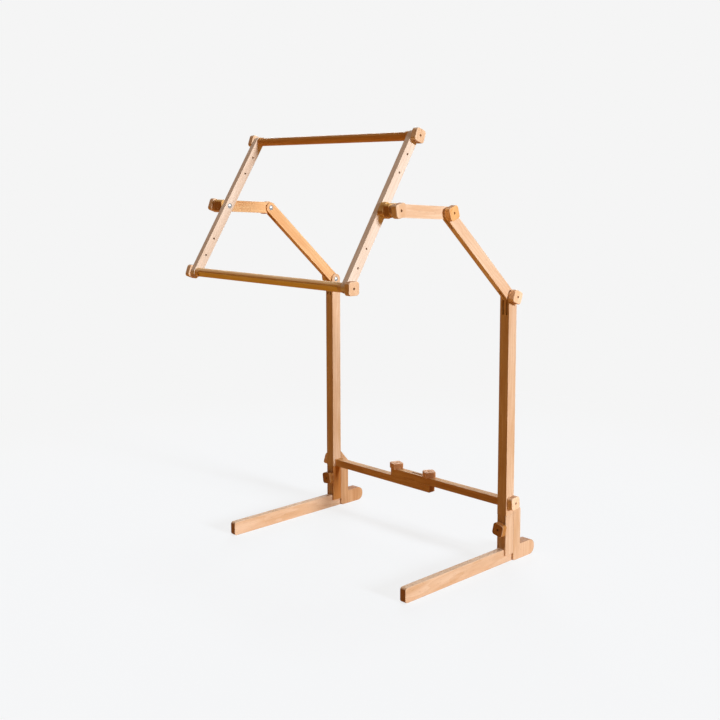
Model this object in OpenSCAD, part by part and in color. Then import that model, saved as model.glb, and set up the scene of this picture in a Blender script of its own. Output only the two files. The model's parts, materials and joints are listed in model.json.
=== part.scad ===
// Embroidery floor stand: two feet, two posts, a crossbar in two halves, folding arms and a scroll frame.
// X runs across the stand to the right, Y runs to the back, Z is up from the floor.
// The origin is on the floor, in the middle of the stand's length and width.

/* [Posts] */
// Distance between the centre planes of the two posts
post_spacing = 728.5; // [700:0.5:760]
// Width of a post across the stand
post_w = 31.5; // [30:0.5:32]
// Depth of a post from front to back
post_d = 34.5; // [34:0.5:36]
// Height of the shoulder pivot above the floor
shoulder_h = 772; // [700:1:840]
// Depth of the comb slots below the shoulder pivot
comb_depth = 51; // [46:1:60]
// Thickness of the comb prongs on the inner side and in the middle
prong_t = 7; // [6.5:0.1:7.5]
// Width of each comb slot
comb_slot = 6; // [5.7:0.1:6.5]

/* [Feet] */
// Thickness of a foot bar
foot_w = 20; // [18:0.5:22]
// Height of a foot bar
foot_h = 41; // [38:0.5:44]
// Reach of a foot bar in front of the post's centre
foot_reach = 428; // [380:1:460]
// Radius of the front corners of a foot bar
foot_corner = 8; // [4:0.5:12]
// Depth of the heel block behind the post
riser_d = 32.5; // [30:0.5:36]
// Height of the heel block at its front edge
riser_front_h = 187; // [170:1:200]
// Height of the heel block at its back edge
riser_back_h = 150; // [149:1:160]
// Reach of the toe behind the post's centre
toe_reach = 118.5; // [100:0.5:140]
// Height of the toe
toe_h = 44; // [42:0.5:48]
// Radius of the toe's rounded end
toe_r = 20; // [14:1:21]
// Length of the foot bar's tenon inside the heel block
tenon_len = 28; // [20:1:31]
// Height of the cheeks' lower edge above the floor
cheek_foot = 23; // [15:1:30]
// Height of the cheeks' upper edge above the floor
cheek_top = 140; // [130:1:141]

/* [Height clamp] */
// Height of the clamp bolt at the lowest setting
clamp_h = 101; // [90:1:105]
// Travel of the posts in the feet
lift = 40; // [0:1:40]

/* [Crossbar] */
// Depth of each crossbar half from front to back
bar_d = 25; // [20:0.5:28]
// Height of each crossbar half
bar_h = 22.4; // [20:0.1:25]
// Distance of the crossbar's centre behind the post's centre
bar_back = 4.5; // [0:0.5:4.5]
// Height of the lower, left half above the floor
bar_z = 141.4; // [141:0.1:150]
// Reach of the left half past the middle of the stand
left_bar_end = 76; // [70:1:90]
// Reach of the right half past the middle of the stand
right_bar_end = 88; // [80:1:95]
// Distance of the left width bolt from the middle
left_bolt_x = 75; // [60:1:76]
// Distance of the right width bolt from the middle
right_bolt_x = 64; // [50:1:65]
// Travel of the posts apart
spread = 70; // [0:1:70]
// Height of each stud above the middle of its half
stud_rise = 2.7; // [0:0.1:4]

/* [Arms] */
// Length of a lower arm between its pivots
lower_len = 358.3; // [320:0.1:380]
// Rise of a lower arm above the horizontal
lower_rise = 42; // [30:0.5:60]
// Width of a lower arm
lower_w = 33; // [30:0.5:34]
// Thickness of a lower arm
arm_t = 18.5; // [18.5:0.1:19]
// Gap between the two tongues of a lower arm
fork_gap = 7.5; // [7.3:0.1:8]
// Depth of the forks from their pivots
fork_depth = 45; // [40:1:60]
// Length of an upper arm between its pivots
upper_len = 195.3; // [160:0.1:220]
// Rise of an upper arm above the horizontal
upper_rise = 3.2; // [-5:0.1:15]
// Width of an upper arm
upper_w = 34; // [30:0.5:34]
// Thickness of an upper arm
upper_t = 7; // [6:0.1:7]

/* [Frame] */
// Clear distance between the two slats
slat_gap = 615.6; // [580:0.1:620]
// Thickness of a slat
slat_t = 17; // [15:0.5:20]
// Width of a slat
slat_w = 28; // [22:0.5:32]
// Distance from the tilt pivot to each roller's axis
roller_arm = 221.5; // [190:0.5:240]
// Slope of the frame above the horizontal
frame_slope = 57.9; // [40:0.1:80]
// Distance from the tilt pivot to the outer spare hole
outer_hole = 165.5; // [150:0.5:180]
// Distance from the tilt pivot to the inner spare hole
inner_hole = 110.6; // [80:0.1:130]
// Diameter of a roller
roller_d = 25; // [22:0.5:26]
// Length of a roller's full round ends
roller_end = 13; // [8:1:30]
// Depth of the flat along a roller
roller_flat = 5; // [3:0.5:6]
// Width of the batten that lies in the flat
batten_w = 14; // [8:0.5:16]
// Thickness of the batten
batten_t = 2.5; // [1:0.5:3]
// Width and height of the square spacers beside the tilt pivots
spacer_w = 35; // [30:0.5:38]

/* [Knobs] */
// Width and height of a square knob
knob_w = 36; // [32:0.5:40]
// Thickness of a square knob
knob_t = 18; // [15:0.5:18]
// Corner radius of a square knob
knob_r = 8; // [4:0.5:12]
// Width and height of a knob at the frame's corners
corner_knob_w = 35; // [30:0.5:38]
// Thickness of a knob at the frame's corners
corner_knob_t = 17.5; // [14:0.5:17.5]

/* [Hardware] */
// Diameter of the bolts
bolt_d = 6; // [6:0.1:6.4]
// Diameter of the domed bolt heads
head_d = 15.5; // [12:0.5:18]
// Height of the domed bolt heads
head_h = 3.4; // [2:0.1:3.4]
// Depth of the bolt ends below the knobs' outer faces
bolt_recess = 5; // [1:0.5:9]
// Length of a stud inside the wood that holds it
stud_depth = 26; // [15:1:30]
// Outer diameter of the washers under the tilt knobs
washer_d = 18; // [14:0.5:20]
// Thickness of the washers under the tilt knobs
washer_t = 1.8; // [1:0.1:2]

/* [Clearances] */
// Radial clearance round a bolt
bolt_fit = 0.05; // [0.02:0.01:0.1]
// Clearance between faces that slide or turn on each other
face_gap = 0.3; // [0.2:0.05:0.4]
// Distance between the back of a post and its heel block
riser_gap = 1; // [0.5:0.1:1.5]

/* [Hidden] */
$fn = 72;
cut = 1;
post_x = post_spacing / 2;
bore_r = bolt_d / 2 + bolt_fit;
// The arms lie in line with the middle prong of the posts
arm_x = post_x - post_w / 2 + 1.5 * prong_t + comb_slot;
slat_in = slat_gap / 2;
slat_out = slat_in + slat_t;
elbow_y = -lower_len * cos(lower_rise);
elbow_z = shoulder_h + lower_len * sin(lower_rise);
tilt_y = elbow_y - upper_len * cos(upper_rise);
tilt_z = elbow_z + upper_len * sin(upper_rise);
riser_y = post_d / 2 + riser_gap;
riser_back_y = riser_y + riser_d;
cheek_t = (post_w - foot_w) / 2;
tongue_w = foot_w - 2 * face_gap;
right_bar_z = bar_z + bar_h + face_gap;
spacer_t = (arm_x - upper_t / 2 - slat_out - face_gap) / 2;
roller_len = slat_gap - 2 * face_gap;
// Turn of each square knob on its bolt, in degrees
tilt_turn = [-20, 12];
elbow_turn = [8, 19];
shoulder_turn = [10, -22];
crossbar_turn = [-20, 5];
clamp_turn = [-8, 12];
width_turn = [-21, -33];
top_corner_turn = [-20, -20];
bottom_corner_turn = [-20, 0];
// Turn of the inner and outer spacers on the tilt bolts
inner_spacer_turn = [2, -32];
outer_spacer_turn = [-3, 5];
// Turn of the flats from straight up, on the top and on the bottom roller
top_flat_turn = 8;
bottom_flat_turn = 115;
// The frontmost point is on a corner knob, and the last one on the toes
knob_reach = (corner_knob_w / 2 - knob_r) * (cos(20) + sin(20)) + knob_r;
front_y = tilt_y - roller_arm * cos(frame_slope) - knob_reach;
mid_y = (front_y + toe_reach) / 2;

beech = [0.87, 0.69, 0.48];
pale_beech = [0.91, 0.76, 0.58];
golden_beech = [0.80, 0.57, 0.33];
zinc = [0.72, 0.73, 0.75];

// Places what is drawn about the posts' plane into the object's frame
module placed() {
    translate([0, -mid_y, 0]) children();
}

// Draws the right side as it is, and the left side as its mirror image
module sided(side) {
    if (side > 0) children();
    else mirror([1, 0, 0]) children();
}

// Sets the turn of a left or right piece
function pick(pair, side) = side > 0 ? pair[1] : pair[0];

// Height of the stud that joins a post to its crossbar half
function stud_height(side) = (side > 0 ? right_bar_z : bar_z) + bar_h / 2 + stud_rise;

// Extrudes an outline that is drawn in Y and Z, centred on X
module slab(thickness) {
    translate([-thickness / 2, 0, 0])
        rotate([90, 0, 90])
            linear_extrude(thickness) children();
}

// Outline of a straight strip with a full round about each of two pivots
module strip_outline(length, width) {
    translate([-width / 2, 0]) square([width, length]);
    circle(d = width);
    translate([0, length]) circle(d = width);
}

// Outline of a square with round corners
module square_outline(width, radius) {
    inner = width - 2 * radius;
    square([width, inner], center = true);
    square([inner, width], center = true);
    for (x = [-1, 1], y = [-1, 1])
        translate([x * inner / 2, y * inner / 2]) circle(r = radius);
}

// Round bore along X through the whole piece
module bore_x(length) {
    translate([-length / 2, 0, 0]) rotate([0, 90, 0]) cylinder(r = bore_r, h = length);
}

// Slot for a bolt, cut along Z and long in X
module slot_x(length, depth) {
    translate([0, -bore_r, 0]) cube([length, 2 * bore_r, depth]);
    cylinder(r = bore_r, h = depth);
    translate([length, 0, 0]) cylinder(r = bore_r, h = depth);
}

// Square wooden knob, its inner face at zero and its outer face up
module knob(width, thickness) {
    color(pale_beech)
        difference() {
            linear_extrude(thickness) square_outline(width, knob_r);
            translate([0, 0, -cut]) cylinder(r = bore_r, h = thickness + 2 * cut);
        }
}

// Plain threaded stud
module stud(length) {
    color(zinc) cylinder(d = bolt_d, h = length);
}

// Bolt with a domed head whose flat underside is at zero
module domed_bolt(length) {
    dome_r = (head_d * head_d / 4 + head_h * head_h) / (2 * head_h);
    color(zinc) {
        cylinder(d = bolt_d, h = length);
        intersection() {
            translate([0, 0, dome_r - head_h]) sphere(r = dome_r);
            translate([0, 0, -head_h - cut]) cylinder(d = head_d, h = head_h + cut);
        }
    }
}

// Turns a piece that is drawn along Z so that it points outwards along X
module outwards(side, x, y, z, turn) {
    translate([side * x, y, z]) rotate([turn, 0, 0]) rotate([0, side * 90, 0]) children();
}

module foot(side) {
    back_y = riser_y + tenon_len;
    color(beech)
        sided(side) translate([post_x, 0, 0]) slab(foot_w) {
            translate([-foot_reach + foot_corner, 0]) square([foot_reach - foot_corner + back_y, foot_h]);
            translate([-foot_reach, foot_corner]) square([foot_corner, foot_h - 2 * foot_corner]);
            for (z = [foot_corner, foot_h - foot_corner])
                translate([-foot_reach + foot_corner, z]) circle(r = foot_corner);
        }
}

// Outline of the heel block: the riser behind the post and the toe behind the riser
module heel_outline() {
    polygon([
        [riser_y + foot_corner, 0], [riser_back_y, 0], [riser_back_y, riser_back_h],
        [riser_y, riser_front_h], [riser_y, foot_corner]
    ]);
    translate([riser_y + foot_corner, foot_corner]) circle(r = foot_corner);
    translate([riser_back_y - cut, 0]) square([toe_reach - toe_r - riser_back_y + cut, toe_h]);
    translate([toe_reach - toe_r, toe_r]) square([toe_r, toe_h - 2 * toe_r]);
    for (z = [toe_r, toe_h - toe_r])
        translate([toe_reach - toe_r, z]) circle(r = toe_r);
}

module heel_block(side) {
    color(beech)
        sided(side) translate([post_x, 0, 0]) difference() {
            slab(post_w) heel_outline();
            translate([-foot_w / 2, riser_y - cut, -cut]) cube([foot_w, tenon_len + cut, foot_h + cut]);
            translate([0, riser_y - cut, clamp_h])
                rotate([0, -90, -90]) slot_x(lift, riser_d + 2 * cut);
        }
}

// Thin board glued to the side of the foot, with its back edge against the riser
module cheek(side, inner) {
    face = inner ? -post_w / 2 : post_w / 2 - cheek_t;
    color(beech)
        sided(side) translate([post_x + face, -post_d / 2, cheek_foot])
            cube([cheek_t, post_d / 2 + riser_y, cheek_top - cheek_foot]);
}

// Slots of the comb joint at the top of a post, cut through from front to back
module comb_slots() {
    for (x = [prong_t, 2 * prong_t + comb_slot])
        translate([-post_w / 2 + x, -post_d, shoulder_h - comb_depth])
            cube([comb_slot, 2 * post_d, comb_depth + post_d]);
}

module post(side) {
    color(beech)
        sided(side) translate([post_x, 0, 0]) difference() {
            union() {
                translate([-post_w / 2, -post_d / 2, cheek_top + face_gap])
                    cube([post_w, post_d, shoulder_h - cheek_top - face_gap]);
                translate([0, 0, shoulder_h]) slab(post_w) circle(d = post_d);
                translate([-tongue_w / 2, -post_d / 2, foot_h + face_gap])
                    cube([tongue_w, post_d, cheek_top - foot_h]);
            }
            comb_slots();
            translate([0, 0, shoulder_h]) bore_x(post_w + 2 * cut);
            translate([0, bar_back, stud_height(side)]) bore_x(post_w + 2 * cut);
            translate([0, post_d / 2 + cut, clamp_h])
                rotate([90, 0, 0]) cylinder(r = bore_r, h = post_d + 2 * cut);
        }
}

// Half of the crossbar, from its post's inner face past the middle of the stand
module crossbar(side) {
    z = side > 0 ? right_bar_z : bar_z;
    past = side > 0 ? right_bar_end : left_bar_end;
    hole_x = side > 0 ? -left_bolt_x : right_bolt_x;
    slot_start = side > 0 ? right_bolt_x - spread : -left_bolt_x;
    reach = post_x - post_w / 2;
    start = side > 0 ? -past : -reach;
    color(beech)
        translate([0, bar_back, z]) difference() {
            translate([start, -bar_d / 2, 0]) cube([reach + past, bar_d, bar_h]);
            translate([hole_x, 0, -cut]) cylinder(r = bore_r, h = bar_h + 2 * cut);
            translate([slot_start, 0, -cut]) slot_x(spread, bar_h + 2 * cut);
            outwards(side, reach - stud_depth, 0, stud_height(side) - z, 0)
                cylinder(r = bore_r, h = stud_depth + cut);
        }
}

// Lower arm with a fork at each end, drawn upwards from the shoulder pivot
module lower_arm(side) {
    fork = fork_depth + lower_w;
    color(beech)
        sided(side) translate([arm_x, 0, shoulder_h]) rotate([90 - lower_rise, 0, 0]) difference() {
            slab(arm_t) strip_outline(lower_len, lower_w);
            for (z = [fork_depth - fork, lower_len - fork_depth])
                translate([-fork_gap / 2, -lower_w, z]) cube([fork_gap, 2 * lower_w, fork]);
            for (z = [0, lower_len])
                translate([0, 0, z]) bore_x(arm_t + 2 * cut);
        }
}

// Upper arm, drawn upwards from the elbow pivot
module upper_arm(side) {
    color(beech)
        sided(side) translate([arm_x, elbow_y, elbow_z]) rotate([90 - upper_rise, 0, 0]) difference() {
            slab(upper_t) strip_outline(upper_len, upper_w);
            for (z = [0, upper_len])
                translate([0, 0, z]) bore_x(upper_t + 2 * cut);
        }
}

// Square spacer on the tilt bolt, counted outwards from the slat
module spacer(side, place) {
    turns = place == 0 ? inner_spacer_turn : outer_spacer_turn;
    outwards(side, slat_out + place * spacer_t, tilt_y, tilt_z, pick(turns, side))
        color(pale_beech)
            difference() {
                linear_extrude(spacer_t) square_outline(spacer_w, knob_r);
                translate([0, 0, -cut]) cylinder(r = bore_r, h = spacer_t + 2 * cut);
            }
}

// Side of the frame, drawn upwards through the tilt pivot
module slat(side) {
    color(pale_beech)
        sided(side) translate([slat_in + slat_t / 2, tilt_y, tilt_z]) rotate([frame_slope - 90, 0, 0])
            difference() {
                slab(slat_t) translate([0, -roller_arm]) strip_outline(2 * roller_arm, slat_w);
                for (s = [0, -roller_arm, roller_arm, -outer_hole, outer_hole, -inner_hole, inner_hole])
                    translate([0, 0, s]) bore_x(slat_t + 2 * cut);
            }
}

// Moves what follows to the axis of the top roller (1) or the bottom roller (-1)
module at_roller(end) {
    translate([0, tilt_y + end * roller_arm * cos(frame_slope), tilt_z + end * roller_arm * sin(frame_slope)])
        children();
}

function flat_turn(end) = end > 0 ? top_flat_turn : bottom_flat_turn;

// Roller with a flat along it between its full round ends
module roller(end) {
    flat_len = roller_len - 2 * roller_end;
    color(golden_beech)
        at_roller(end) rotate([flat_turn(end), 0, 0]) difference() {
            translate([-roller_len / 2, 0, 0]) rotate([0, 90, 0]) cylinder(d = roller_d, h = roller_len);
            translate([-flat_len / 2, -roller_d, roller_d / 2 - roller_flat])
                cube([flat_len, 2 * roller_d, roller_d]);
            for (side = [-1, 1])
                outwards(side, roller_len / 2 - stud_depth, 0, 0, 0)
                    cylinder(r = bore_r, h = stud_depth + cut);
        }
}

// Thin strip that lies on the roller's flat and holds the edge of the cloth
module batten(end) {
    length = roller_len - 2 * roller_end - 4;
    color(pale_beech)
        at_roller(end) rotate([flat_turn(end), 0, 0])
            translate([-length / 2, -batten_w / 2, roller_d / 2 - roller_flat])
                cube([length, batten_w, batten_t]);
}

module clamp_knob(side) {
    translate([side * post_x, -post_d / 2 - face_gap, clamp_h])
        rotate([0, pick(clamp_turn, side), 0]) rotate([90, 0, 0]) knob(knob_w, knob_t);
}

module clamp_bolt(side) {
    length = riser_back_y + post_d / 2 + 2 * face_gap + knob_t - bolt_recess;
    translate([side * post_x, riser_back_y + face_gap, clamp_h]) rotate([90, 0, 0]) domed_bolt(length);
}

module crossbar_knob(side) {
    outwards(side, post_x + post_w / 2 + face_gap, bar_back, stud_height(side), pick(crossbar_turn, side))
        knob(knob_w, knob_t);
}

module crossbar_stud(side) {
    length = stud_depth + post_w + face_gap + knob_t - bolt_recess;
    outwards(side, post_x - post_w / 2 - stud_depth, bar_back, stud_height(side), 0) stud(length);
}

module width_knob(side) {
    x = side > 0 ? right_bolt_x : -left_bolt_x;
    translate([x, bar_back, right_bar_z + bar_h + face_gap])
        rotate([0, 0, pick(width_turn, side)]) knob(knob_w, knob_t);
}

module width_bolt(side) {
    x = side > 0 ? right_bolt_x : -left_bolt_x;
    length = 2 * bar_h + 3 * face_gap + knob_t - bolt_recess;
    translate([x, bar_back, bar_z - face_gap]) domed_bolt(length);
}

module shoulder_knob(side) {
    outwards(side, post_x + post_w / 2 + face_gap, 0, shoulder_h, pick(shoulder_turn, side))
        knob(knob_w, knob_t);
}

module shoulder_bolt(side) {
    outwards(side, post_x - post_w / 2, 0, shoulder_h, 0)
        domed_bolt(post_w + face_gap + knob_t - bolt_recess);
}

module elbow_knob(side) {
    outwards(side, arm_x + arm_t / 2 + face_gap, elbow_y, elbow_z, pick(elbow_turn, side))
        knob(knob_w, knob_t);
}

module elbow_bolt(side) {
    outwards(side, arm_x - arm_t / 2, elbow_y, elbow_z, 0)
        domed_bolt(arm_t + face_gap + knob_t - bolt_recess);
}

module tilt_washer(side) {
    outwards(side, arm_x + upper_t / 2 + face_gap, tilt_y, tilt_z, 0)
        color(zinc)
            difference() {
                cylinder(d = washer_d, h = washer_t);
                translate([0, 0, -cut]) cylinder(r = bore_r, h = washer_t + 2 * cut);
            }
}

module tilt_knob(side) {
    outwards(side, arm_x + upper_t / 2 + washer_t + 2 * face_gap, tilt_y, tilt_z, pick(tilt_turn, side))
        knob(knob_w, knob_t);
}

module tilt_bolt(side) {
    length = arm_x + upper_t / 2 - slat_in + washer_t + 2 * face_gap + knob_t - bolt_recess;
    outwards(side, slat_in, tilt_y, tilt_z, 0) domed_bolt(length);
}

module corner_knob(end, side) {
    turns = end > 0 ? top_corner_turn : bottom_corner_turn;
    at_roller(end) outwards(side, slat_out + face_gap, 0, 0, pick(turns, side))
        knob(corner_knob_w, corner_knob_t);
}

module corner_stud(end, side) {
    length = stud_depth + slat_t + 2 * face_gap + corner_knob_t - bolt_recess;
    at_roller(end) outwards(side, slat_in - face_gap - stud_depth, 0, 0, 0) stud(length);
}

placed() foot(-1);  // left_foot
placed() foot(1);  // right_foot
placed() heel_block(-1);  // left_heel_block
placed() heel_block(1);  // right_heel_block
placed() cheek(-1, true);  // left_inner_cheek
placed() cheek(-1, false);  // left_outer_cheek
placed() cheek(1, true);  // right_inner_cheek
placed() cheek(1, false);  // right_outer_cheek
placed() post(-1);  // left_post
placed() post(1);  // right_post
placed() crossbar(-1);  // left_crossbar
placed() crossbar(1);  // right_crossbar
placed() lower_arm(-1);  // left_lower_arm
placed() lower_arm(1);  // right_lower_arm
placed() upper_arm(-1);  // left_upper_arm
placed() upper_arm(1);  // right_upper_arm
placed() spacer(-1, 0);  // left_inner_spacer
placed() spacer(-1, 1);  // left_outer_spacer
placed() spacer(1, 0);  // right_inner_spacer
placed() spacer(1, 1);  // right_outer_spacer
placed() slat(-1);  // left_slat
placed() slat(1);  // right_slat
placed() roller(1);  // top_roller
placed() roller(-1);  // bottom_roller
placed() batten(1);  // top_batten
placed() batten(-1);  // bottom_batten
placed() clamp_knob(-1);  // left_clamp_knob
placed() clamp_knob(1);  // right_clamp_knob
placed() crossbar_knob(-1);  // left_crossbar_knob
placed() crossbar_knob(1);  // right_crossbar_knob
placed() width_knob(-1);  // left_width_knob
placed() width_knob(1);  // right_width_knob
placed() shoulder_knob(-1);  // left_shoulder_knob
placed() shoulder_knob(1);  // right_shoulder_knob
placed() elbow_knob(-1);  // left_elbow_knob
placed() elbow_knob(1);  // right_elbow_knob
placed() tilt_knob(-1);  // left_tilt_knob
placed() tilt_knob(1);  // right_tilt_knob
placed() corner_knob(1, -1);  // top_left_knob
placed() corner_knob(1, 1);  // top_right_knob
placed() corner_knob(-1, -1);  // bottom_left_knob
placed() corner_knob(-1, 1);  // bottom_right_knob
placed() clamp_bolt(-1);  // left_clamp_bolt
placed() clamp_bolt(1);  // right_clamp_bolt
placed() crossbar_stud(-1);  // left_crossbar_stud
placed() crossbar_stud(1);  // right_crossbar_stud
placed() width_bolt(-1);  // left_width_bolt
placed() width_bolt(1);  // right_width_bolt
placed() shoulder_bolt(-1);  // left_shoulder_bolt
placed() shoulder_bolt(1);  // right_shoulder_bolt
placed() elbow_bolt(-1);  // left_elbow_bolt
placed() elbow_bolt(1);  // right_elbow_bolt
placed() tilt_bolt(-1);  // left_tilt_bolt
placed() tilt_bolt(1);  // right_tilt_bolt
placed() corner_stud(1, -1);  // top_left_stud
placed() corner_stud(1, 1);  // top_right_stud
placed() corner_stud(-1, -1);  // bottom_left_stud
placed() corner_stud(-1, 1);  // bottom_right_stud
placed() tilt_washer(-1);  // left_tilt_washer
placed() tilt_washer(1);  // right_tilt_washer
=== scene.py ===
import json
import math
import random

import bmesh
import bpy
from mathutils import Matrix, Vector

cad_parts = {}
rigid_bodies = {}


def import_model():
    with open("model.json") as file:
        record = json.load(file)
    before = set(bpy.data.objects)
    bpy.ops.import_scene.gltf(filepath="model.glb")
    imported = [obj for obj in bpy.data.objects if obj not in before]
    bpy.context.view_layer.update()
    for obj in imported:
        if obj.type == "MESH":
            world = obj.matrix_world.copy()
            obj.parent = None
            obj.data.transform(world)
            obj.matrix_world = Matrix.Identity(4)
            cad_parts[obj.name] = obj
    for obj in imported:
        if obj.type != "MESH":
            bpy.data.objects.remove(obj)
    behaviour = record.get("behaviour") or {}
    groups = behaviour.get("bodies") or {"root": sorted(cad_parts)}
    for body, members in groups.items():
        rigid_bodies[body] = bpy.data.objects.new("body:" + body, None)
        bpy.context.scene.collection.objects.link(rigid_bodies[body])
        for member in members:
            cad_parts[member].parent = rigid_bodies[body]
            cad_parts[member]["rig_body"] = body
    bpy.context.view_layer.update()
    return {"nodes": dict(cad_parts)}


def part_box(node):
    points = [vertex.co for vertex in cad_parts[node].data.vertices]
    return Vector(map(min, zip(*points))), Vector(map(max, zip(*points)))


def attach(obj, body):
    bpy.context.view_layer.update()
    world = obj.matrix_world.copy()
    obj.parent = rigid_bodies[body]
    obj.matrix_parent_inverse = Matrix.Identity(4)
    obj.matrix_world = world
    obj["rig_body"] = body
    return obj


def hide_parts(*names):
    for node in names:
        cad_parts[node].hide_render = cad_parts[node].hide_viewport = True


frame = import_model()
mm = 0.001

# The feet: a bar of planed beech on the floor, with a boot-shaped heel block behind the post and two thin
# cheeks beside it. The boards are sawn, rounded over along their edges, and glued up into a socket, so that
# the post can slide in it. They are only oiled, so the fine straight grain and its short flecks stay matt.
scene = bpy.context.scene
draw = random.Random(5)


def linear(hex_colour):
    """Turns an sRGB hex colour to the linear colour that a shader reads."""
    channels = [int(hex_colour[i:i + 2], 16) / 255 for i in (1, 3, 5)]
    return [c / 12.92 if c <= 0.04045 else ((c + 0.055) / 1.055) ** 2.4 for c in channels] + [1.0]


def add_node(tree, kind, settings=None, inputs=None):
    """Adds a shader node. An input that is given as a socket is linked, and any other one is set."""
    node = tree.nodes.new("ShaderNode" + kind)
    for name, value in (settings or {}).items():
        setattr(node, name, value)
    for name, value in (inputs or {}).items():
        if isinstance(value, bpy.types.NodeSocket):
            tree.links.new(value, node.inputs[name])
        else:
            node.inputs[name].default_value = value
    return node


def new_material(name):
    """Makes an empty node material."""
    material = bpy.data.materials.new(name)
    material.use_nodes = True
    material.node_tree.nodes.clear()
    return material


# Oiled beech, planed and sanded: to the eye a pale, even, matt wood with soft growth bands, short brown flecks
# and darker ends. The real bands and flecks are 3 mm and 0.5 mm wide, too fine for the picture, so both are
# drawn about three times as coarse. The lengths of the pattern are in millimetres.
BAND_WIDTH = 9.0
BAND_WANDER = 40.0
WANDER_WIDTH = 45.0
WANDER_LENGTH = 240.0
FLECK_WIDTH = 1.6
FLECK_LENGTH = 9.0
FIBRE_WIDTH = 1.1
FIBRE_LENGTH = 60.0
PATCH_WIDTH = 30.0
PATCH_LENGTH = 160.0
GRAIN_RELIEF = 0.15 * mm
FLECK_BROWN = "#8A5A34"
CUT_END_BROWN = "#9C6230"
# Paler tone of the eased edges: partly wear, partly painted highlight.
RUBBED_EDGE_AND_HIGHLIGHT = "#EBD6BE"


def oiled_beech(node, pale, deep, along):
    """Beech with its grain along a direction. Lengths inside it are millimetres, with X along the grain."""
    material = new_material(node + "_oiled_beech")
    tree = material.node_tree
    turn = tuple(Vector(along).rotation_difference(Vector((1, 0, 0))).to_euler())
    heart = (draw.uniform(-400, 400), draw.uniform(35, 70), draw.uniform(-40, 40))
    spot = add_node(tree, "TexCoord")
    board = add_node(tree, "Mapping", inputs={
        "Vector": spot.outputs["Object"], "Location": heart, "Rotation": turn, "Scale": (1 / mm,) * 3})

    def noise(length, width, detail):
        """Cloudy pattern whose patches have this length along the grain and this width across it."""
        scaled = add_node(tree, "VectorMath", {"operation": "MULTIPLY"}, {
            0: board.outputs["Vector"], 1: (1 / length, 1 / width, 1 / width)})
        return add_node(tree, "TexNoise", inputs={
            "Vector": scaled.outputs["Vector"], "Scale": 1, "Detail": detail})

    def share(source, low, high, least, most):
        """Turns the stretch of a pattern between low and high into a share between least and most."""
        stretch = add_node(tree, "MapRange", {"interpolation_type": "SMOOTHSTEP"}, {
            "Value": source, "From Min": low, "From Max": high, "To Min": least, "To Max": most})
        return stretch.outputs["Result"]

    def tinted(colour, tint, factor):
        """Mixes a tint into a colour."""
        return add_node(tree, "Mix", {"data_type": "RGBA"}, {0: factor, 6: colour, 7: tint}).outputs[2]

    # The growth bands are rings round the heart of the log, which lies beside the board, and wander a little.
    wander = noise(WANDER_LENGTH, WANDER_WIDTH, 2)
    bent = add_node(tree, "VectorMath", {"operation": "MULTIPLY_ADD"}, {
        0: wander.outputs["Color"], 1: (0, BAND_WANDER, BAND_WANDER), 2: board.outputs["Vector"]})
    bands = add_node(tree, "TexWave", {"wave_type": "RINGS", "rings_direction": "X", "wave_profile": "SAW"}, {
        "Vector": bent.outputs["Vector"], "Scale": math.tau / 20 / BAND_WIDTH, "Distortion": 0})
    fibres = noise(FIBRE_LENGTH, FIBRE_WIDTH, 3)
    flecks = noise(FLECK_LENGTH, FLECK_WIDTH, 1)
    patches = noise(PATCH_LENGTH, PATCH_WIDTH, 2)

    colour = tinted(linear(pale), linear(deep), share(bands.outputs["Fac"], 0.15, 1.0, 0.0, 0.42))
    colour = tinted(colour, linear(deep), share(patches.outputs["Fac"], 0.38, 0.68, 0.0, 0.6))
    colour = tinted(colour, linear(deep), share(fibres.outputs["Fac"], 0.5, 0.75, 0.0, 0.34))
    colour = tinted(colour, linear(FLECK_BROWN), share(flecks.outputs["Fac"], 0.62, 0.74, 0.0, 0.22))

    # Faces that are cut across the grain soak up more oil. Eased edges are drawn paler: partly wear from the
    # hands, partly a painted highlight along the rims.
    facing = add_node(tree, "Mapping", {"vector_type": "VECTOR"}, {
        "Vector": spot.outputs["Normal"], "Rotation": turn})
    endways = add_node(tree, "SeparateXYZ", inputs={"Vector": facing.outputs["Vector"]})
    cut_end = add_node(tree, "Math", {"operation": "ABSOLUTE"}, {0: endways.outputs["X"]})
    colour = tinted(colour, linear(CUT_END_BROWN), share(cut_end.outputs["Value"], 0.75, 0.98, 0.0, 0.7))
    edge_wear_and_highlight = add_node(tree, "Attribute", {"attribute_name": "edge_wear_and_highlight"})
    rubbed_and_highlit = add_node(tree, "Math", {"operation": "MULTIPLY"}, {
        0: edge_wear_and_highlight.outputs["Fac"], 1: share(patches.outputs["Fac"], 0.35, 0.6, 0.05, 0.35)})
    colour = tinted(colour, linear(RUBBED_EDGE_AND_HIGHLIGHT), rubbed_and_highlit.outputs["Value"])

    height = add_node(tree, "Math", {"operation": "ADD"}, {
        0: fibres.outputs["Fac"], 1: share(flecks.outputs["Fac"], 0.62, 0.74, 0.0, -0.6)})
    relief = add_node(tree, "Bump", inputs={
        "Height": height.outputs["Value"], "Strength": 0.35, "Distance": GRAIN_RELIEF})
    surface = add_node(tree, "BsdfPrincipled", inputs={
        "Base Color": colour, "Normal": relief.outputs["Normal"], "IOR": 1.5, "Specular IOR Level": 0.1,
        "Roughness": share(fibres.outputs["Fac"], 0.3, 0.7, 0.55, 0.68)})
    add_node(tree, "OutputMaterial", inputs={"Surface": surface.outputs["BSDF"]})
    return material


SAME_CORNER = 0.001 * mm
FLAT_ANGLE = math.radians(0.2)
SHARP_ANGLE = math.radians(40)
EDGE_STEPS = 3


def merged_copy(node):
    """Copies a node's mesh, with its loose triangles merged to whole faces."""
    shape = bmesh.new()
    shape.from_mesh(frame["nodes"][node].data)
    bmesh.ops.remove_doubles(shape, verts=shape.verts, dist=SAME_CORNER)
    bmesh.ops.dissolve_limit(shape, angle_limit=FLAT_ANGLE, verts=shape.verts, edges=shape.edges)
    return shape


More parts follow.
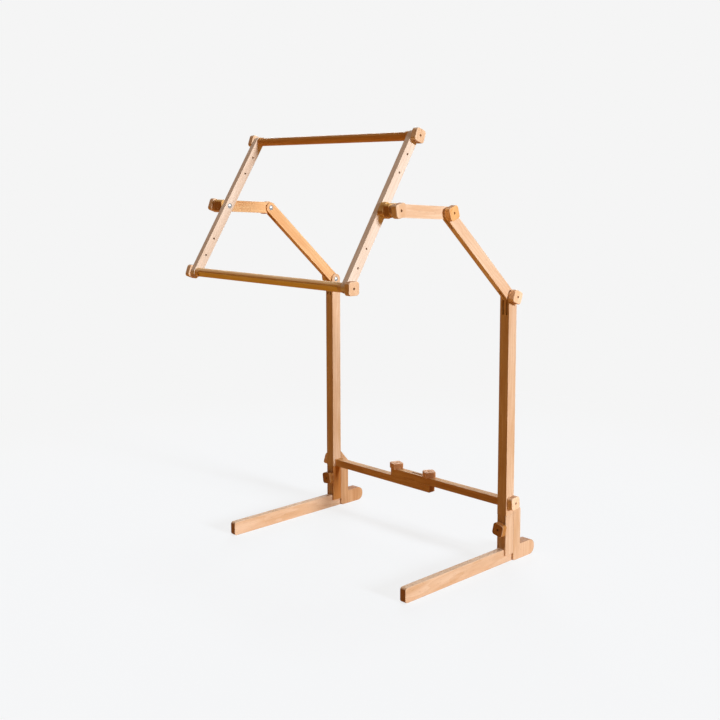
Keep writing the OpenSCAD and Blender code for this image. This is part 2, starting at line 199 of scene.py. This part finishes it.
def rounded(shape, edges, radius, segments):
    """Rounds edges over, and returns the new faces."""
    return bmesh.ops.bevel(
        shape, geom=edges, offset=radius, offset_type="OFFSET", segments=segments, profile=0.5,
        affect="EDGES", clamp_overlap=True, material=-1)["faces"]


def add_piece(name, shape, material, node):
    """Makes a smooth-shaded piece of a mesh. It stands for a node and rides on that node's body."""
    for face in shape.faces:
        face.smooth = True
    mesh = bpy.data.meshes.new(name)
    shape.to_mesh(mesh)
    shape.free()
    mesh.materials.append(material)
    piece = bpy.data.objects.new(name, mesh)
    scene.collection.objects.link(piece)
    flat_faces = piece.modifiers.new("keep the flat faces flat", "WEIGHTED_NORMAL")
    flat_faces.keep_sharp = True
    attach(piece, frame["nodes"][node]["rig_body"])
    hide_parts(node)
    return piece


def eased_board(node, material, radius):
    """Makes a board in place of a node, with its sharp edges rounded over."""
    shape = merged_copy(node)
    sharp = [edge for edge in shape.edges if edge.is_manifold and edge.calc_face_angle() > SHARP_ANGLE]
    # The rounded faces are marked for paler edges: partly wear, partly painted highlight.
    edge_wear_and_highlight = shape.faces.layers.float.new("edge_wear_and_highlight")
    for face in rounded(shape, sharp, radius, EDGE_STEPS):
        face[edge_wear_and_highlight] = 1.0
    return add_piece(node + "_wood", shape, material, node)


PALE_BOARD = ("#E3C8AE", "#CDA67E")
TAN_BOARD = ("#CAA580", "#B28257")
HONEY_BOARD = ("#CF9658", "#B37136")
FOOT_EDGE = 1.0 * mm
BLOCK_EDGE = 1.6 * mm
# The left heel block and cheeks, which stand under the crossbar, are given darker tones than the right ones.
for side, bar, block, cheek in (("left", PALE_BOARD, TAN_BOARD, HONEY_BOARD),
                                ("right", PALE_BOARD, PALE_BOARD, PALE_BOARD)):
    for part, tones, along, radius in (
            ("foot", bar, (0, 1, 0), FOOT_EDGE), ("heel_block", block, (0, 0, 1), BLOCK_EDGE),
            ("inner_cheek", cheek, (0, 0, 1), BLOCK_EDGE), ("outer_cheek", cheek, (0, 0, 1), BLOCK_EDGE)):
        node = side + "_" + part
        eased_board(node, oiled_beech(node, *tones, along), radius)

# The posts: square beech uprights. The lower end is cut down to a tongue that slides between the cheeks, and
# the upper end is sawn into three prongs, a comb joint that the fork of the arm above fits into.
POST_EDGE = 1.0 * mm
for side in ("left", "right"):
    node = side + "_post"
    eased_board(node, oiled_beech(node, *PALE_BOARD, (0, 0, 1)), POST_EDGE)

# The crossbar: two halves of beech, one on top of the other, each slotted so that the other one's bolt can
# travel in it and the stand can be set wider.
CROSSBAR_BOARD = ("#DEB584", "#C28D54")
CROSSBAR_EDGE = 1.0 * mm
for side in ("left", "right"):
    node = side + "_crossbar"
    eased_board(node, oiled_beech(node, *CROSSBAR_BOARD, (1, 0, 0)), CROSSBAR_EDGE)

# The arms: flat beech strips with full round ends. The lower one is sawn into a fork at each end, and the
# thin upper one swings in the upper fork. The grain runs from joint to joint.
ARM_EDGE = 0.8 * mm


def middle(node):
    """The middle of a node's box."""
    low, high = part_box(node)
    return (low + high) / 2


for side, pale, deep in (("left", "#F0CFA1", "#DCA672"), ("right", "#EDD6BE", "#DAB28C")):
    shoulder, elbow, tilt = (middle(side + "_" + joint + "_knob") for joint in ("shoulder", "elbow", "tilt"))
    for part, low, high in (("lower_arm", shoulder, elbow), ("upper_arm", elbow, tilt)):
        along = high - low
        along.x = 0
        node = side + "_" + part
        eased_board(node, oiled_beech(node, pale, deep, along), ARM_EDGE)

# The spacers: two square blocks of beech on each tilt bolt, which hold the slat clear of the arm. They hang
# loose on the bolt until the knob presses them together, so each has come to rest at its own angle. Their
# corners are cut round, their rims are sanded over, and the bore is countersunk a little at both ends.
SIDE_AXIS = Vector((1, 0, 0))
BLOCK_CORNER = 8.0 * mm
CORNER_STEPS = 6
RIM_STEPS = 4
BORE_RADIUS = 3.05 * mm
COUNTERSINK = 0.6 * mm
SPACER_RIM = 1.0 * mm
SPACER_BLOCK = ("#DFB878", "#C4934C")


def square_block(node, axis, material, rim):
    """Builds a square block in place of a node, its rims paler from wear and painted highlight: the node gives
    its size, its middle and its turn.
    """
    shape = merged_copy(node)
    sides = [face for face in shape.faces if abs(face.normal.dot(axis)) < 0.5]
    across = max(sides, key=lambda face: face.calc_area()).normal.copy()
    turn = Matrix((across, axis.cross(across), axis)).transposed()
    inside = [turn.transposed() @ corner.co for corner in shape.verts]
    low = Vector([min(corner[i] for corner in inside) for i in range(3)])
    high = Vector([max(corner[i] for corner in inside) for i in range(3)])
    size = high - low
    shape.clear()

    # The rounded rims are marked for paler edges: partly wear, partly painted highlight.
    edge_wear_and_highlight = shape.faces.layers.float.new("edge_wear_and_highlight")
    bmesh.ops.create_cube(shape, size=1.0, matrix=Matrix.Diagonal(size).to_4x4())
    upright = [edge for edge in shape.edges if edge.verts[0].co.z * edge.verts[1].co.z < 0]
    rounded(shape, upright, BLOCK_CORNER, CORNER_STEPS)
    rims = [edge for edge in shape.edges if abs(edge.verts[0].co.z + edge.verts[1].co.z) > 0.99 * size.z]
    for face in rounded(shape, rims, rim, RIM_STEPS):
        face[edge_wear_and_highlight] = 1.0

    # The two large faces get the ring of the countersink and inside it the ring of the bore, and the bores'
    # rings are then bridged. An inset only makes the ring: its corners are put on a circle afterwards.
    ends = [face for face in shape.faces if len(face.verts) > 4]
    for radius, depth in ((BORE_RADIUS + COUNTERSINK, 0), (BORE_RADIUS, COUNTERSINK)):
        bmesh.ops.inset_individual(shape, faces=ends, thickness=0.1 * mm)
        for end in ends:
            ring = sorted(end.verts, key=lambda corner: math.atan2(corner.co.y, corner.co.x))
            level = math.copysign(size.z / 2 - depth, end.calc_center_median().z)
            for step, corner in enumerate(ring):
                angle = (step + 0.5) * math.tau / len(ring) - math.pi
                corner.co = (radius * math.cos(angle), radius * math.sin(angle), level)
    bore = [edge for end in ends for edge in end.edges]
    bmesh.ops.delete(shape, geom=ends, context="FACES_ONLY")
    bmesh.ops.bridge_loops(shape, edges=bore)
    place = turn.to_4x4() @ Matrix.Translation((low + high) / 2)
    bmesh.ops.transform(shape, matrix=place, verts=shape.verts)
    bmesh.ops.recalc_face_normals(shape, faces=shape.faces)
    return add_piece(node + "_wood", shape, material, node)


for side in ("left", "right"):
    for part in ("inner_spacer", "outer_spacer"):
        node = side + "_" + part
        wood = oiled_beech(node, *SPACER_BLOCK, (0, 1, 0.3))
        square_block(node, SIDE_AXIS, wood, SPACER_RIM)

# The slats: the two sides of the frame, of the palest boards. Each is drilled for the tilt bolt in the middle
# and for the rollers at its ends, with two spare holes on either side of the middle.
SLAT_EDGE = 0.8 * mm
for side, pale, deep in (("left", "#E9DED3", "#D6C2B0"), ("right", "#EFE5DB", "#DDCBBA")):
    node = side + "_slat"
    along = middle("top_" + side + "_knob") - middle("bottom_" + side + "_knob")
    eased_board(node, oiled_beech(node, pale, deep, along), SLAT_EDGE)

# The rollers: two turned beech rods that the cloth is wound on, planed to a flat between their round ends. A
# thin batten lies in the flat and holds the edge of the cloth. The two rollers are of one wood: the top one is
# drawn darker as painted shade, and the bottom roller and its batten paler and more golden as painted light.
ROLLER_EDGE = 0.4 * mm
for node, slot, pale, deep in (
        # The top roller's darker tone is painted shade.
        ("top_roller", "roller_wood", "#DAA561", "#C08341"),
        ("top_batten", "slat_wood", "#DEBE9C", "#C49A6C"),
        # The bottom roller's and batten's paler, golden tones are painted light.
        ("bottom_roller", "roller_wood", "#ECCB9C", "#DDAE74"),
        ("bottom_batten", "slat_wood", "#F4DC92", "#E8C46C")):
    eased_board(node, oiled_beech(node, pale, deep, (1, 0, 0)), ROLLER_EDGE)

# The knobs: sixteen square blocks of beech with round corners, each turning on the end of a bolt or stud that
# stays a few millimetres below its face. Hands have rounded their rims, and their wood differs in tone, but
# the brown of the two clamp knobs, which face the front, is painted shade.
WIDTH_AXIS = Vector((0, 0, 1))
CLAMP_AXIS = Vector((0, -1, 0))
KNOB_RIM = 1.8 * mm
GRAIN_LEAN = 0.3
PALE_KNOB = ("#ECD3B8", "#D9B28C")
CREAM_KNOB = ("#FAE1C6", "#EAC098")
HONEY_KNOB = ("#F2C38A", "#DBA260")
GOLDEN_KNOB = ("#E8B995", "#CB9059")
# The brown of the clamp knobs is painted shade.
SHADED_BROWN_KNOB = ("#BC8B52", "#A06831")
for side in ("left", "right"):
    for part, axis, tones in (
            ("clamp", CLAMP_AXIS, SHADED_BROWN_KNOB), ("crossbar", SIDE_AXIS, CREAM_KNOB),
            ("width", WIDTH_AXIS, GOLDEN_KNOB), ("shoulder", SIDE_AXIS, CREAM_KNOB),
            ("elbow", SIDE_AXIS, HONEY_KNOB), ("tilt", SIDE_AXIS, PALE_KNOB)):
        node = side + "_" + part + "_knob"
        along = (0, draw.uniform(-GRAIN_LEAN, GRAIN_LEAN), 1)
        if part == "width":
            along = (1, draw.uniform(-0.6, -0.4), 0)
        square_block(node, axis, oiled_beech(node, *tones, along), KNOB_RIM)
    for end in ("top", "bottom"):
        node = end + "_" + side + "_knob"
        along = (0, draw.uniform(-GRAIN_LEAN, GRAIN_LEAN), 1)
        square_block(node, SIDE_AXIS, oiled_beech(node, *PALE_KNOB, along), KNOB_RIM)

# The metalwork: bolts with low domed heads, plain studs and thin washers, turned and punched of steel with
# bright zinc plating. The bolts are pressed into the wood, and the knobs turn on their other ends.
MARK_SIZE = 3 * mm
MARK_RELIEF = 0.05 * mm
SAW_LINE = 0.8 * mm
SAW_RELIEF = 0.1 * mm


# Zinc plating gives the eye a cool silver with a faint blue cast, and fine tumbling marks that break up its
# reflections. The marks are drawn a few millimetres across, so that they show.
def bright_zinc(name):
    """Zinc-plated steel with tumbling marks."""
    material = new_material(name)
    tree = material.node_tree
    spot = add_node(tree, "TexCoord")
    marks = add_node(tree, "TexNoise", inputs={
        "Vector": spot.outputs["Object"], "Scale": 1 / MARK_SIZE, "Detail": 4})
    rough = add_node(tree, "MapRange", inputs={
        "Value": marks.outputs["Fac"], "From Min": 0.3, "From Max": 0.7, "To Min": 0.24, "To Max": 0.42})
    tone = add_node(tree, "Mix", {"data_type": "RGBA"}, {
        0: marks.outputs["Fac"], 6: linear("#A4A7AB"), 7: linear("#B9BBBD")})
    relief = add_node(tree, "Bump", inputs={
        "Height": marks.outputs["Fac"], "Strength": 0.2, "Distance": MARK_RELIEF})
    surface = add_node(tree, "BsdfPrincipled", inputs={
        "Base Color": tone.outputs[2], "Metallic": 1.0, "Roughness": rough.outputs["Result"],
        "Normal": relief.outputs["Normal"]})
    add_node(tree, "OutputMaterial", inputs={"Surface": surface.outputs["BSDF"]})
    return material


# The ends of the bolts and studs, where they were sawn to length, are drawn as bare steel, rough from the saw.
# Its dull dark grey is painted shade: it stands for the shade down in the bores of the knobs.
def shaded_end_steel(name):
    """Bare steel with the marks of the saw, in a dull dark grey that is painted shade."""
    material = new_material(name)
    tree = material.node_tree
    spot = add_node(tree, "TexCoord")
    saw_lines = add_node(tree, "TexNoise", inputs={
        "Vector": spot.outputs["Object"], "Scale": 1 / SAW_LINE, "Detail": 2})
    dull = add_node(tree, "Mix", {"data_type": "RGBA"}, {
        0: saw_lines.outputs["Fac"], 6: linear("#3E3A36"), 7: linear("#6B6560")})
    relief = add_node(tree, "Bump", inputs={
        "Height": saw_lines.outputs["Fac"], "Strength": 0.4, "Distance": SAW_RELIEF})
    surface = add_node(tree, "BsdfPrincipled", inputs={
        "Base Color": dull.outputs[2], "Metallic": 1.0, "Roughness": 0.6, "Normal": relief.outputs["Normal"]})
    add_node(tree, "OutputMaterial", inputs={"Surface": surface.outputs["BSDF"]})
    return material


SHAFT_RADIUS = 3.0 * mm
END_CHAMFER = 0.6 * mm
HEAD_HEIGHT = 3.4 * mm
DOME_STEPS = 8
TURNED_STEPS = 40
TURNED_ANGLE = math.radians(35)
plating = bright_zinc("bright_zinc_plating")
# The dark grey of the bolt and stud ends is painted shade.
shaded_bolt_end = shaded_end_steel("bolt_end_painted_shade_steel")


def turned_metal(node, direction, outline_for):
    """Spins an outline of radii and distances round a node's own line, in place of the node."""
    low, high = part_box(node)
    length = abs((high - low).dot(direction))
    width = max((high - low) - length * Vector([abs(part) for part in direction]))
    start = (low + high) / 2 - direction * length / 2
    shape = bmesh.new()
    corners = [shape.verts.new((radius, 0, distance)) for radius, distance in outline_for(length, width / 2)]
    edges = [shape.edges.new(pair) for pair in zip(corners, corners[1:])]
    bmesh.ops.spin(shape, geom=corners + edges, cent=(0, 0, 0), axis=(0, 0, 1), angle=math.tau,
                   steps=TURNED_STEPS, use_merge=True)
    bmesh.ops.remove_doubles(shape, verts=shape.verts, dist=SAME_CORNER)
    bmesh.ops.recalc_face_normals(shape, faces=shape.faces)
    for edge in shape.edges:
        edge.smooth = edge.calc_face_angle(0) < TURNED_ANGLE
    if outline_for is not flat_washer:
        # The chamfered ends get the dark steel, whose grey is painted shade in the knob bores.
        for face in shape.faces:
            face.material_index = int(face.calc_center_median().z > length - END_CHAMFER)
    turn = Vector((0, 0, 1)).rotation_difference(direction).to_matrix().to_4x4()
    bmesh.ops.transform(shape, matrix=Matrix.Translation(start) @ turn, verts=shape.verts)
    piece = add_piece(node + "_plated", shape, plating, node)
    piece.data.materials.append(shaded_bolt_end)
    return piece


def shaft(start, length):
    """Outline of a shaft from its start to its chamfered end."""
    return [(SHAFT_RADIUS, start), (SHAFT_RADIUS, length - END_CHAMFER),
            (SHAFT_RADIUS - END_CHAMFER, length), (0, length)]


def domed_bolt(length, head_radius):
    """Outline of a bolt whose low domed head is at the start."""
    dome = (head_radius ** 2 + HEAD_HEIGHT ** 2) / (2 * HEAD_HEIGHT)
    turns = [math.asin(head_radius / dome) * step / DOME_STEPS for step in range(DOME_STEPS + 1)]
    head = [(dome * math.sin(turn), dome * (1 - math.cos(turn))) for turn in turns]
    return head + shaft(HEAD_HEIGHT, length)


def plain_stud(length, radius):
    """Outline of a stud with a chamfer at both ends."""
    return [(0, 0), (radius - END_CHAMFER, 0)] + shaft(END_CHAMFER, length)


def flat_washer(length, radius):
    """Outline of a washer whose outer edge is rounded by the punch."""
    edge = length / 4
    return [(BORE_RADIUS, 0), (radius - edge, 0), (radius, edge), (radius, length - edge),
            (radius - edge, length), (BORE_RADIUS, length), (BORE_RADIUS, 0)]


for side, outwards in (("left", -SIDE_AXIS), ("right", SIDE_AXIS)):
    for part, direction in (("shoulder", outwards), ("elbow", outwards), ("tilt", outwards),
                            ("clamp", CLAMP_AXIS), ("width", WIDTH_AXIS)):
        turned_metal(side + "_" + part + "_bolt", direction, domed_bolt)
    for node in (side + "_crossbar_stud", "top_" + side + "_stud", "bottom_" + side + "_stud"):
        turned_metal(node, outwards, plain_stud)
    turned_metal(side + "_tilt_washer", outwards, flat_washer)

# The studio: a plain pale floor that runs out into a backdrop of the same tone, with soft lamps beside, above
# and behind the stand. To the camera the floor and the room have the tone of paper, but the light that they
# throw back on the wood is warm and dim.
BACKDROP = linear("#F5F5F5")
PAPER = linear("#E3F1FF")
WARM_FLOOR = linear("#CE9746")
WHITE = (1, 1, 1, 1)
WARM_ROOM = (0.13, 0.06, 0.015, 1)
FLOOR_SIZE = 60.0
SHADOW_SHARE = 0.22
SHADOW_REACH = 0.8
BACKDROP_START = 2.4


def seen_share(tree):
    """1 for what the camera sees, also in metal or through glass, and 0 for light on its way elsewhere."""
    path = add_node(tree, "LightPath")
    seen = add_node(tree, "Math", {"operation": "MAXIMUM"}, {
        0: path.outputs["Is Camera Ray"], 1: path.outputs["Is Glossy Ray"]})
    seen = add_node(tree, "Math", {"operation": "MAXIMUM"}, {
        0: seen.outputs["Value"], 1: path.outputs["Is Transmission Ray"]})
    return seen.outputs["Value"]


paper = new_material("pale_paper_floor")
tree = paper.node_tree
seen = seen_share(tree)
spot = add_node(tree, "TexCoord")
reach = add_node(tree, "VectorMath", {"operation": "LENGTH"}, {0: spot.outputs["Object"]})
far = add_node(tree, "MapRange", {"interpolation_type": "SMOOTHSTEP"}, {
    "Value": reach.outputs["Value"], "From Min": SHADOW_REACH, "From Max": BACKDROP_START,
    "To Min": 0.0, "To Max": 1.0})
bright = add_node(tree, "MapRange", inputs={
    "Value": far.outputs["Result"], "From Min": 0.0, "From Max": 1.0,
    "To Min": 1 - SHADOW_SHARE, "To Max": 1.0})
glow_share = add_node(tree, "Math", {"operation": "MULTIPLY"}, {0: seen, 1: bright.outputs["Result"]})
tone = add_node(tree, "Mix", {"data_type": "RGBA"}, {0: seen, 6: WARM_FLOOR, 7: PAPER})
matt = add_node(tree, "BsdfDiffuse", inputs={"Color": tone.outputs[2]})
shine = add_node(tree, "Mix", {"data_type": "RGBA"}, {0: far.outputs["Result"], 6: WHITE, 7: BACKDROP})
glow = add_node(tree, "Emission", inputs={"Color": shine.outputs[2], "Strength": 1.0})
mixed = add_node(tree, "MixShader", inputs={
    0: glow_share.outputs["Value"], 1: matt.outputs["BSDF"], 2: glow.outputs["Emission"]})
add_node(tree, "OutputMaterial", inputs={"Surface": mixed.outputs["Shader"]})

shape = bmesh.new()
bmesh.ops.create_grid(shape, x_segments=1, y_segments=1, size=FLOOR_SIZE / 2)
mesh = bpy.data.meshes.new("floor")
shape.to_mesh(mesh)
shape.free()
mesh.materials.append(paper)
floor = bpy.data.objects.new("floor", mesh)
scene.collection.objects.link(floor)

world = bpy.data.worlds.new("studio")
world.use_nodes = True
world.node_tree.nodes.clear()
scene.world = world
tree = world.node_tree
air = add_node(tree, "Mix", {"data_type": "RGBA"}, {0: seen_share(tree), 6: WARM_ROOM, 7: BACKDROP})
background = add_node(tree, "Background", inputs={"Color": air.outputs[2], "Strength": 1.0})
add_node(tree, "OutputWorld", inputs={"Surface": background.outputs["Background"]})

# Each lamp has the direction that it shines from, its strength in watts per square metre, and its spread in
# degrees, which makes the edges of the shadows soft.
LAMP_DISTANCE = 3
for name, direction, strength, spread in (
        ("side_lamp", (1.0, 0.05, 0.3), 3.0, 12), ("top_lamp", (0.0, 0.2, 1.0), 0.9, 20),
        ("back_lamp", (-0.75, 0.8, 0.4), 1.2, 30)):
    lamp = bpy.data.lights.new(name, "SUN")
    lamp.energy = strength
    lamp.angle = math.radians(spread)
    holder = bpy.data.objects.new(name, lamp)
    holder.rotation_euler = Vector(direction).to_track_quat("Z", "Y").to_euler()
    holder.location = LAMP_DISTANCE * Vector(direction)
    scene.collection.objects.link(holder)

# The camera stands in front of the stand and to its right, at the height of the frame. It looks a little
# down, and its shift takes both the upper end of the frame and the feet into the picture.
camera_data = bpy.data.cameras.new("camera")
camera_data.lens = 51.97
camera_data.sensor_width = 36
camera_data.shift_y = -0.0818
camera = bpy.data.objects.new("camera", camera_data)
camera.location = (2.1586, -2.0770, 1.1043)
camera.rotation_euler = [math.radians(angle) for angle in (83.216, 0.127, 45.922)]
scene.collection.objects.link(camera)
scene.camera = camera
scene.view_settings.view_transform = "Standard"
